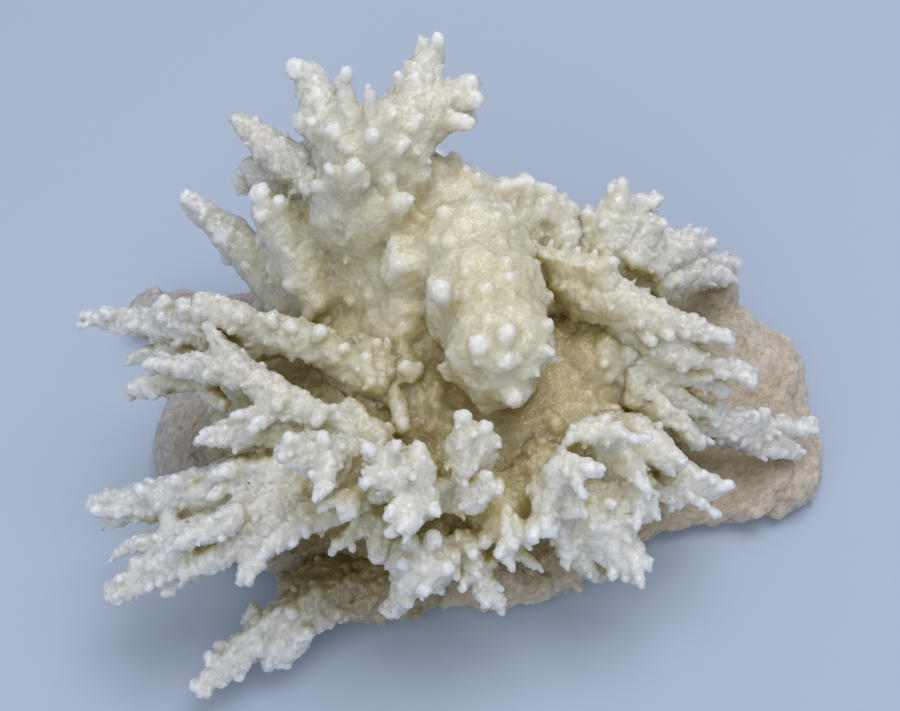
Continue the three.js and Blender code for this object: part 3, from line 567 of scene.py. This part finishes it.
twigPlaces = {
    "crown": [
        twigAt((303, 72), (294, 68), 2, 3.0, 2.5), twigAt((310, 125), (299, 122), 1, 3.2, 2.6),
        twigAt((318, 138), (311, 118), 4, 2.6, 1.8), twigAt((337, 139), (331, 127), 4, 2.8, 2.4),
        twigAt((375, 143), (371, 132), 4, 2.2, 1.8), twigAt((345, 100), (347, 66), 3, 2.0, 1.3),
        twigAt((396, 122), (391, 108), 4, 2.6, 2.3), twigAt((372, 112), (367, 85), 3, 2.0, 1.2),
        twigAt((430, 60), (440, 34), 2, 2.8, 2.2), twigAt((455, 95), (478, 78), 1, 2.4, 1.8),
        twigAt((455, 105), (482, 97), 1, 2.6, 2.2), twigAt((440, 118), (474, 124), 0, 2.4, 1.6),
        twigAt((400, 95), (398, 74), 3, 1.8, 1.3), twigAt((360, 175), (352, 165), 4, 2.8, 2.3),
        twigAt((340, 175), (326, 168), 3, 2.4, 1.8), twigAt((380, 190), (392, 178), 3, 2.6, 2.0),
    ],
    "left rear horns": [
        twigAt((294, 226), (290, 189), 2, 1.8, 0.8), twigAt((268, 200), (257, 191), 2, 3.0, 2.6),
        twigAt((282, 212), (279, 196), 3, 2.2, 1.8), twigAt((212, 215), (182, 194), 1, 2.8, 2.2),
    ],
    "upper left comb": [
        twigAt((152, 328), (167, 298), 3, 2.6, 1.8), twigAt((183, 318), (184, 303), 3, 2.8, 2.2),
        twigAt((202, 322), (199, 306), 3, 2.8, 2.2), twigAt((226, 374), (195, 353), 3, 1.5, 0.9),
        twigAt((200, 372), (144, 363), 2, 2.8, 1.6), twigAt((205, 390), (227, 406), 4, 2.6, 1.9),
        twigAt((218, 378), (204, 373), 3, 1.8, 1.3), twigAt((118, 318), (99, 310), 2, 2.4, 1.6),
        twigAt((262, 409), (231, 417), 2, 1.5, 0.9), twigAt((318, 340), (322, 331), 3, 2.6, 2.0),
        twigAt((290, 334), (291, 325), 2, 2.2, 1.7), twigAt((342, 352), (346, 346), 2, 2.2, 1.7),
        twigAt((366, 360), (368, 355), 2, 2.0, 1.6), twigAt((240, 328), (238, 312), 3, 2.4, 1.6),
        twigAt((270, 332), (272, 316), 3, 2.6, 1.8), twigAt((170, 322), (158, 316), 2, 2.2, 1.5),
        twigAt((165, 362), (146, 372), 1, 2.0, 1.3), twigAt((165, 388), (150, 396), 1, 1.8, 1.2),
        twigAt((280, 395), (276, 410), 3, 2.0, 1.4), twigAt((320, 412), (318, 424), 3, 2.2, 1.6),
    ],
    "lower left comb": [
        twigAt((225, 440), (197, 440), 2, 1.6, 1.0), twigAt((215, 430), (203, 434), 2, 1.4, 1.0),
        twigAt((245, 465), (215, 475), 2, 2.6, 1.8), twigAt((240, 478), (210, 500), 3, 2.8, 1.6),
        twigAt((245, 485), (234, 507), 4, 1.8, 1.2), twigAt((228, 500), (220, 522), 4, 1.6, 0.8),
        twigAt((180, 520), (165, 521), 3, 2.6, 2.2), twigAt((180, 578), (162, 594), -1, 2.4, 1.5),
        twigAt((255, 555), (238, 583), -2, 2.2, 1.3), twigAt((264, 553), (248, 587), -1, 1.9, 1.2),
        twigAt((150, 558), (130, 566), 1, 2.0, 1.4), twigAt((160, 498), (136, 490), 2, 2.0, 1.3),
        twigAt((130, 505), (92, 512), 1, 2.0, 1.5), twigAt((190, 485), (170, 479), 3, 1.8, 1.2),
    ],
    "front left": [
        twigAt((300, 445), (288, 438), 3, 2.2, 1.6), twigAt((325, 447), (322, 436), 3, 2.2, 1.6),
        twigAt((350, 492), (317, 511), 2, 1.5, 0.7), twigAt((300, 525), (291, 546), 1, 1.6, 0.9),
        twigAt((310, 515), (306, 537), 1, 1.6, 0.9), twigAt((372, 478), (364, 484), 2, 1.6, 1.1),
    ],
    "low limb": [
        twigAt((222, 664), (205, 656), 1, 2.4, 1.7), twigAt((250, 622), (254, 606), 1, 2.4, 1.6),
        twigAt((246, 662), (236, 680), 0, 2.0, 1.4), twigAt((205, 680), (208, 696), 0, 2.0, 1.3),
        twigAt((302, 636), (312, 632), 0, 2.4, 1.6),
    ],
    "front": [
        twigAt((446, 440), (450, 424), 2, 1.6, 1.0), twigAt((470, 430), (463, 413), 2, 1.8, 1.2),
        twigAt((392, 452), (396, 444), 3, 2.0, 1.5), twigAt((372, 452), (366, 447), 3, 2.0, 1.4),
        twigAt((430, 505), (437, 514), 2, 1.6, 1.1), twigAt((515, 520), (527, 538), 2, 1.8, 1.1),
        twigAt((520, 553), (546, 573), 1, 1.5, 0.6), twigAt((515, 565), (554, 581), 0, 1.6, 0.8),
        twigAt((507, 572), (511, 580), 2, 1.8, 1.4), twigAt((515, 582), (521, 590), 1, 1.6, 1.2),
        twigAt((478, 588), (488, 606), 1, 1.8, 1.1), twigAt((468, 575), (462, 591), 2, 1.8, 1.2),
        twigAt((400, 590), (410, 607), 1, 2.0, 1.4), twigAt((415, 545), (408, 537), 3, 2.2, 1.6),
        twigAt((430, 545), (436, 536), 3, 2.4, 1.8), twigAt((410, 565), (401, 562), 3, 2.4, 1.7),
        twigAt((440, 565), (449, 570), 3, 2.4, 1.7), twigAt((425, 580), (424, 594), 2, 2.2, 1.5),
        twigAt((480, 482), (488, 474), 3, 1.6, 1.1), twigAt((470, 540), (474, 556), 5, 2.2, 1.5),
        twigAt((490, 548), (492, 566), 5, 2.0, 1.3), twigAt((456, 548), (452, 562), 5, 2.2, 1.5),
        twigAt((445, 530), (440, 545), 4, 2.4, 1.7), twigAt((505, 540), (498, 556), 4, 1.8, 1.2),
        twigAt((480, 530), (486, 545), 5, 2.2, 1.6), twigAt((535, 520), (533, 540), 4, 2.4, 1.6),
        twigAt((540, 545), (545, 562), 2, 2.2, 1.5), twigAt((525, 560), (533, 574), 1, 2.0, 1.3),
        twigAt((395, 520), (389, 534), 3, 2.0, 1.4), twigAt((362, 512), (355, 524), 3, 1.8, 1.2),
        twigAt((340, 525), (330, 540), 2, 1.8, 1.1),
    ],
    "front right": [
        twigAt((575, 470), (583, 498), 2, 1.8, 1.1), twigAt((590, 472), (604, 468), 2, 1.6, 1.0),
        twigAt((630, 548), (643, 588), 0, 1.8, 1.1), twigAt((612, 560), (612, 582), 0, 1.8, 1.2),
        twigAt((575, 575), (581, 593), 1, 1.8, 1.1), twigAt((620, 520), (636, 522), 2, 1.8, 1.1),
        twigAt((600, 505), (614, 503), 3, 1.8, 1.3), twigAt((560, 520), (552, 531), 2, 1.8, 1.2),
        twigAt((600, 425), (606, 417), 2, 1.6, 1.0), twigAt((640, 505), (637, 530), 1, 1.5, 0.8),
        twigAt((630, 440), (652, 436), 1, 1.6, 1.0), twigAt((690, 480), (706, 473), 1, 1.8, 1.1),
        twigAt((685, 493), (722, 517), 0, 1.5, 0.9), twigAt((715, 488), (733, 485), 0, 2.0, 1.4),
        twigAt((670, 455), (688, 462), 1, 2.0, 1.5), twigAt((650, 500), (659, 521), 1, 1.6, 0.9),
    ],
    "right long fingers": [
        twigAt((592, 278), (614, 285), 1, 2.6, 2.0), twigAt((600, 265), (617, 264), 1, 2.4, 1.9),
        twigAt((700, 330), (735, 340), 0, 2.2, 1.4), twigAt((690, 312), (702, 306), 1, 1.8, 1.2),
        twigAt((718, 372), (729, 376), 0, 1.8, 1.2), twigAt((735, 372), (757, 384), 0, 2.4, 1.8),
        twigAt((700, 397), (706, 409), 1, 2.2, 1.6), twigAt((630, 408), (652, 408), 2, 1.6, 0.9),
        twigAt((655, 418), (674, 428), 1, 1.6, 0.9), twigAt((750, 424), (757, 411), 1, 1.8, 1.2),
        twigAt((760, 420), (768, 409), 1, 1.8, 1.2), twigAt((712, 446), (739, 455), 0, 1.6, 0.9),
        twigAt((660, 325), (672, 338), 2, 2.0, 1.3), twigAt((790, 426), (818, 429), 0, 2.0, 1.2),
        twigAt((640, 330), (655, 345), 2, 2.2, 1.5), twigAt((690, 378), (712, 378), 1, 1.8, 1.2),
    ],
    "right rear": [
        twigAt((622, 205), (623, 177), 1, 2.0, 1.1), twigAt((612, 205), (612, 185), 1, 1.8, 1.2),
        twigAt((640, 208), (661, 197), 0, 1.8, 1.2), twigAt((690, 240), (700, 229), 0, 2.2, 1.4),
        twigAt((700, 250), (719, 240), 0, 2.0, 1.2), twigAt((680, 285), (672, 279), 2, 2.6, 2.0),
        twigAt((655, 232), (664, 221), 0, 2.2, 1.5), twigAt((590, 225), (585, 209), 1, 1.8, 1.3),
    ],
    "column and ridge": [
        twigAt((440, 293), (440, 290), 4, 3.4, 2.8), twigAt((507, 334), (507, 331), 3, 2.6, 2.1),
        twigAt((480, 347), (479, 344), 3, 3.0, 2.5), twigAt((505, 364), (505, 361), 3, 2.4, 2.0),
        twigAt((512, 392), (513, 401), 3, 2.6, 2.1), twigAt((530, 345), (555, 353), 0, 2.6, 1.1),
        twigAt((530, 366), (542, 377), 1, 1.8, 1.0), twigAt((467, 180), (466, 166), 2, 2.2, 1.3),
        twigAt((477, 188), (479, 172), 2, 1.8, 1.1), twigAt((527, 195), (530, 175), 1, 2.0, 1.2),
        twigAt((518, 195), (520, 178), 1, 1.8, 1.2), twigAt((545, 198), (541, 184), 1, 1.8, 1.2),
        twigAt((552, 200), (551, 186), 1, 1.6, 1.1), twigAt((562, 208), (561, 194), 1, 1.8, 1.1),
        twigAt((568, 218), (570, 205), 1, 1.8, 1.2), twigAt((505, 198), (502, 182), 1, 2.2, 1.5),
        twigAt((466, 276), (466, 273), 2, 1.6, 1.2), twigAt((452, 245), (450, 240), 2, 2.6, 2.0),
    ],
    "joints of the heart": [
        twigAt((600, 345), (618, 348), 0, 6.0, 5.0), twigAt((629, 350), (636, 351), 3, 4.0, 3.4),
        twigAt((631, 362), (638, 362), 3, 3.6, 3.0), twigAt((632, 374), (639, 375), 3, 3.8, 3.2),
        twigAt((632, 386), (639, 387), 3, 3.4, 2.9), twigAt((631, 398), (638, 400), 3, 3.6, 3.0),
        twigAt((432, 181), (419, 166), -1, 7.0, 6.0), twigAt((414, 186), (411, 168), 3, 5.0, 4.5),
        twigAt((428, 184), (421, 162), 1, 4.5, 4.0), twigAt((394, 130), (381, 102), 0, 3.2, 2.6),
        twigAt((404, 180), (401, 165), 2, 3.8, 3.2),
    ],
    "left flank of the column": [
        twigAt((414, 246), (409, 284), 0, 9.0, 8.0), twigAt((409, 284), (414, 325), 0, 9.0, 8.0),
        twigAt((432, 338), (440, 376), 0, 8.0, 6.5),
    ],
    "middle": [
        twigAt((398, 336), (396, 331), 1, 1.8, 1.4), twigAt((420, 330), (423, 325), 1, 1.8, 1.4),
        twigAt((432, 352), (435, 347), 1, 1.6, 1.2), twigAt((385, 378), (382, 384), 2, 1.6, 1.2),
        twigAt((426, 372), (430, 378), 2, 1.8, 1.4), twigAt((440, 402), (436, 408), 2, 1.8, 1.3),
        twigAt((455, 418), (451, 412), 2, 1.4, 1.1), twigAt((424, 398), (420, 405), 2, 1.6, 1.1),
        twigAt((372, 300), (368, 292), 2, 2.0, 1.5), twigAt((394, 290), (391, 283), 2, 1.8, 1.4),
        twigAt((412, 305), (415, 298), 2, 1.8, 1.4), twigAt((432, 425), (428, 432), 2, 1.6, 1.1),
        twigAt((470, 430), (474, 436), 2, 1.4, 1.0), twigAt((500, 425), (497, 431), 2, 1.4, 1.0),
        twigAt((560, 425), (556, 430), 2, 1.4, 1.0), twigAt((380, 348), (376, 342), 2, 1.5, 1.1),
        twigAt((446, 372), (442, 366), 2, 1.5, 1.1), twigAt((402, 350), (406, 343), 2, 1.6, 1.2),
        twigAt((405, 372), (405, 366), 3, 2.2, 1.8), twigAt((388, 358), (388, 337), 2, 1.3, 0.8),
        twigAt((418, 352), (400, 348), 2, 2.6, 1.8), twigAt((425, 345), (436, 338), 2, 2.6, 1.8),
        twigAt((400, 415), (405, 430), 2, 2.2, 1.8), twigAt((442, 388), (437, 384), 2, 1.6, 0.9),
    ],
}


# Stretches strewn with small knobs: middle and half-size in the picture, how many, and their radius.
def patchAt(middle, half, count, radius):
    return {"middle": middle, "half": half, "count": count, "radius": radius}


knobPatches = [
    patchAt((505, 360), (42, 40), 32, 1.45), patchAt((524, 340), (24, 50), 12, 1.4),
    patchAt((418, 365), (32, 55), 24, 1.5), patchAt((470, 285), (45, 40), 8, 1.2),
    patchAt((562, 352), (45, 45), 12, 1.3), patchAt((535, 215), (50, 25), 12, 1.7),
    patchAt((520, 430), (90, 26), 16, 1.3), patchAt((590, 400), (40, 25), 8, 1.3),
]
knobShape = {
    "seed": 5, "across": (-4, 4), "down": (-5, 4), "nearer": (0.6, 1.8), "girth": (0.65, 1.4), "taper": 0.8,
}


def strewnKnobs():
    dice = random.Random(knobShape["seed"])
    knobs = []
    for patch in knobPatches:
        (x, y), (wide, tall) = patch["middle"], patch["half"]
        for _ in range(patch["count"]):
            turn, out = dice.uniform(0, 2 * math.pi), math.sqrt(dice.random())
            foot = (x + wide * out * math.cos(turn), y + tall * out * math.sin(turn))
            end = (foot[0] + dice.uniform(*knobShape["across"]), foot[1] + dice.uniform(*knobShape["down"]))
            thick = patch["radius"] * dice.uniform(*knobShape["girth"])
            nearer = dice.uniform(*knobShape["nearer"])
            knobs.append(twigAt(foot, end, nearer, thick, knobShape["taper"] * thick))
    return knobs


def placedTwigs():
    cluster, owners = clusterTree()
    made = []
    places = [place for region in twigPlaces.values() for place in region] + strewnKnobs()
    for place in places:
        eye, way = viewRay(place["foot"])
        hit, _, face, far = cluster.ray_cast(eye, way.normalized())
        if hit is None:
            print("no limb under the twig at", place["foot"])
            continue
        depth = far / way.length
        made.append({
            "on": owners[face], "thick": place["thick"], "thin": place["thin"],
            "root": eye + way * (depth + twigShape["sunk"] * place["thick"] * mm),
            "end": eye + viewRay(place["end"])[1] * (depth - place["nearer"] * mm),
        })
    print("twigs and knobs placed:", len(made), "of", len(places))
    return made


neighbours = looseCopy(sorted(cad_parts), "neighbours")
neighbours.hide_render = True
twigs = placedTwigs()
heart = {"at": (-5, 5, 15), "reach": (100, 80, 170)}

# How a limb is grown over, in millimetres; lean and point are shares.
twiggy = {
    "swell": 0.3, "wander": 1.2, "budSpacing": 7.0, "budSize": 1.4, "spurSpacing": 4.2, "spurLength": 1.9,
    "spurWidth": 1.0, "spurPoint": 0.55, "lean": 2.0,
}
stout = dict(twiggy, budSpacing=9.0, budSize=2.2, spurSpacing=9.0, spurLength=1.8, spurWidth=1.2, lean=1.0)
calm = dict(stout, budSpacing=14.0, budSize=2.2, spurSpacing=30.0)
slender = dict(twiggy, swell=0.1, budSpacing=9.0, spurSpacing=5.0)

# How a piece's skin is made, in millimetres; slope and calm are shares.
fingerSkin = {
    "voxel": 0.55, "ease": 2, "easeShare": 0.5, "lumpSize": 5.0, "lumpHeight": 1.1,
    "knobSize": 2.4, "knobHeight": 0.7, "grainSize": 1.0, "grainHeight": 0.2,
    "faceSize": 2.2, "faceSlope": 0.6, "calm": 0.5,
    "seamReach": 2.8, "seamDepth": 1.4, "finish": aragonite, "slot": "aragonite",
}
heartSkin = dict(fingerSkin, voxel=0.91, ease=4, lumpSize=7.5, lumpHeight=1.3, calm=0.55)
plateSkin = dict(heartSkin, voxel=1.2, knobSize=3.4, knobHeight=1.0, finish=matrix, slot="matrix")

pieces = {
    "plateCrust": dict(plateSkin, seed=1, nodes={
        "matrix_plate": dict(calm, budSpacing=9.0, budSize=2.0, root=(0, 10, 0), seed=1),
    }),
    "heartCrust": dict(heartSkin, seed=2, nodes={
        "core_mound": dict(calm, root=(-5, 5, 0), seed=2),
        "front_column": dict(stout, root=(0, 25, 45), seed=3),
        "rear_ridge": dict(twiggy, root=(15, 35, 35), seed=17),
        "crown_limb": dict(stout, root=(-30, 40, 30), seed=4),
        "left_rear_limb": dict(stout, root=(-25, 25, 35), seed=7),
        "crown_right_arm": dict(twiggy, root=(-25, 45, 75), seed=6),
    }),
    "crownLeftArm": dict(fingerSkin, ease=4, seed=7, nodes={
        "crown_left_arm": dict(twiggy, root=(-30, 50, 60), seed=5),
    }),
    "leftFingers": dict(fingerSkin, voxel=0.6, seed=3, nodes={
        "left_upper_limb": dict(twiggy, root=(-10, 5, 40), seed=8),
        "left_lower_limb": dict(twiggy, root=(-10, -10, 40), seed=9),
        "front_left_limb": dict(twiggy, root=(-15, -15, 45), seed=10),
    }),
    "frontFingers": dict(fingerSkin, voxel=0.62, seed=4, nodes={
        "low_limb": dict(stout, root=(-5, -40, 12), seed=11),
        "front_limb": dict(slender, root=(0, -15, 45), seed=12),
        "front_right_limb": dict(slender, root=(10, -10, 40), seed=13),
        "right_lower_limb": dict(slender, root=(20, -5, 40), seed=14),
    }),
    "rightFingers": dict(fingerSkin, voxel=0.58, seed=5, nodes={
        "right_long_limb": dict(twiggy, root=(15, 10, 45), seed=15),
        "right_rear_limb": dict(twiggy, root=(20, 30, 35), seed=16),
    }),
    "rearFingers": dict(fingerSkin, voxel=0.8, seed=6, nodes={
        "rear_limb": dict(twiggy, root=(0, 35, 30), seed=18),
    }),
}
for name, look in pieces.items():
    growPiece(name, look)
bpy.data.objects.remove(neighbours)


floorLook = {"size": 6.0, "colour": (0.40, 0.48, 0.62), "rough": 0.8}


def makeFloor():
    half = floorLook["size"] / 2
    data = bpy.data.meshes.new("floor")
    corners = [(-half, -half, 0), (half, -half, 0), (half, half, 0), (-half, half, 0)]
    data.from_pydata(corners, [], [(0, 1, 2, 3)])
    floor = bpy.data.objects.new("floor", data)
    bpy.context.scene.collection.objects.link(floor)
    paper = bpy.data.materials.new("floorPaper")
    paper.use_nodes = True
    shader = paper.node_tree.nodes["Principled BSDF"]
    shader.inputs["Base Color"].default_value = (*floorLook["colour"], 1)
    shader.inputs["Roughness"].default_value = floorLook["rough"]
    data.materials.append(paper)


studio = {
    "sky": (0.92, 0.95, 1.0), "skyStrength": 0.40, "aim": (0, 0, 0.04),
    "window": {"at": (0.14, 0.18, 1.0), "size": 0.75, "power": 5.6, "colour": (1.0, 0.98, 0.97)},
    "fill": {"at": (-0.4, -0.8, 1.0), "size": 1.4, "power": 6.0, "colour": (0.96, 0.98, 1.0)},
}


def makeLamp(name, settings):
    data = bpy.data.lights.new(name, "AREA")
    data.shape = "DISK"
    data.size = settings["size"]
    data.energy = settings["power"]
    data.color = settings["colour"]
    lamp = bpy.data.objects.new(name, data)
    lamp.location = settings["at"]
    way = Vector(studio["aim"]) - Vector(settings["at"])
    lamp.rotation_euler = way.to_track_quat("-Z", "Y").to_euler()
    bpy.context.scene.collection.objects.link(lamp)


def makeSky():
    world = bpy.data.worlds.new("sky")
    world.use_nodes = True
    background = world.node_tree.nodes["Background"]
    background.inputs["Color"].default_value = (*studio["sky"], 1)
    background.inputs["Strength"].default_value = studio["skyStrength"]
    bpy.context.scene.world = world


def makeCamera():
    data = bpy.data.cameras.new("camera")
    data.lens = viewFrom["lens"]
    data.sensor_width = viewFrom["sensor"]
    data.clip_start = viewFrom["clipStart"] * mm
    camera = bpy.data.objects.new("camera", data)
    raised = math.radians(viewFrom["elevation"])
    back = Vector((0, -math.cos(raised), math.sin(raised)))
    camera.location = (Vector(viewFrom["target"]) + back * viewFrom["distance"]) * mm
    camera.rotation_euler = (math.pi / 2 - raised, 0, 0)
    bpy.context.scene.collection.objects.link(camera)
    bpy.context.scene.camera = camera


makeFloor()
makeLamp("window", studio["window"])
makeLamp("fill", studio["fill"])
makeSky()
makeCamera()
bpy.context.scene.view_settings.view_transform = "Standard"
print("floor, lights and camera set")
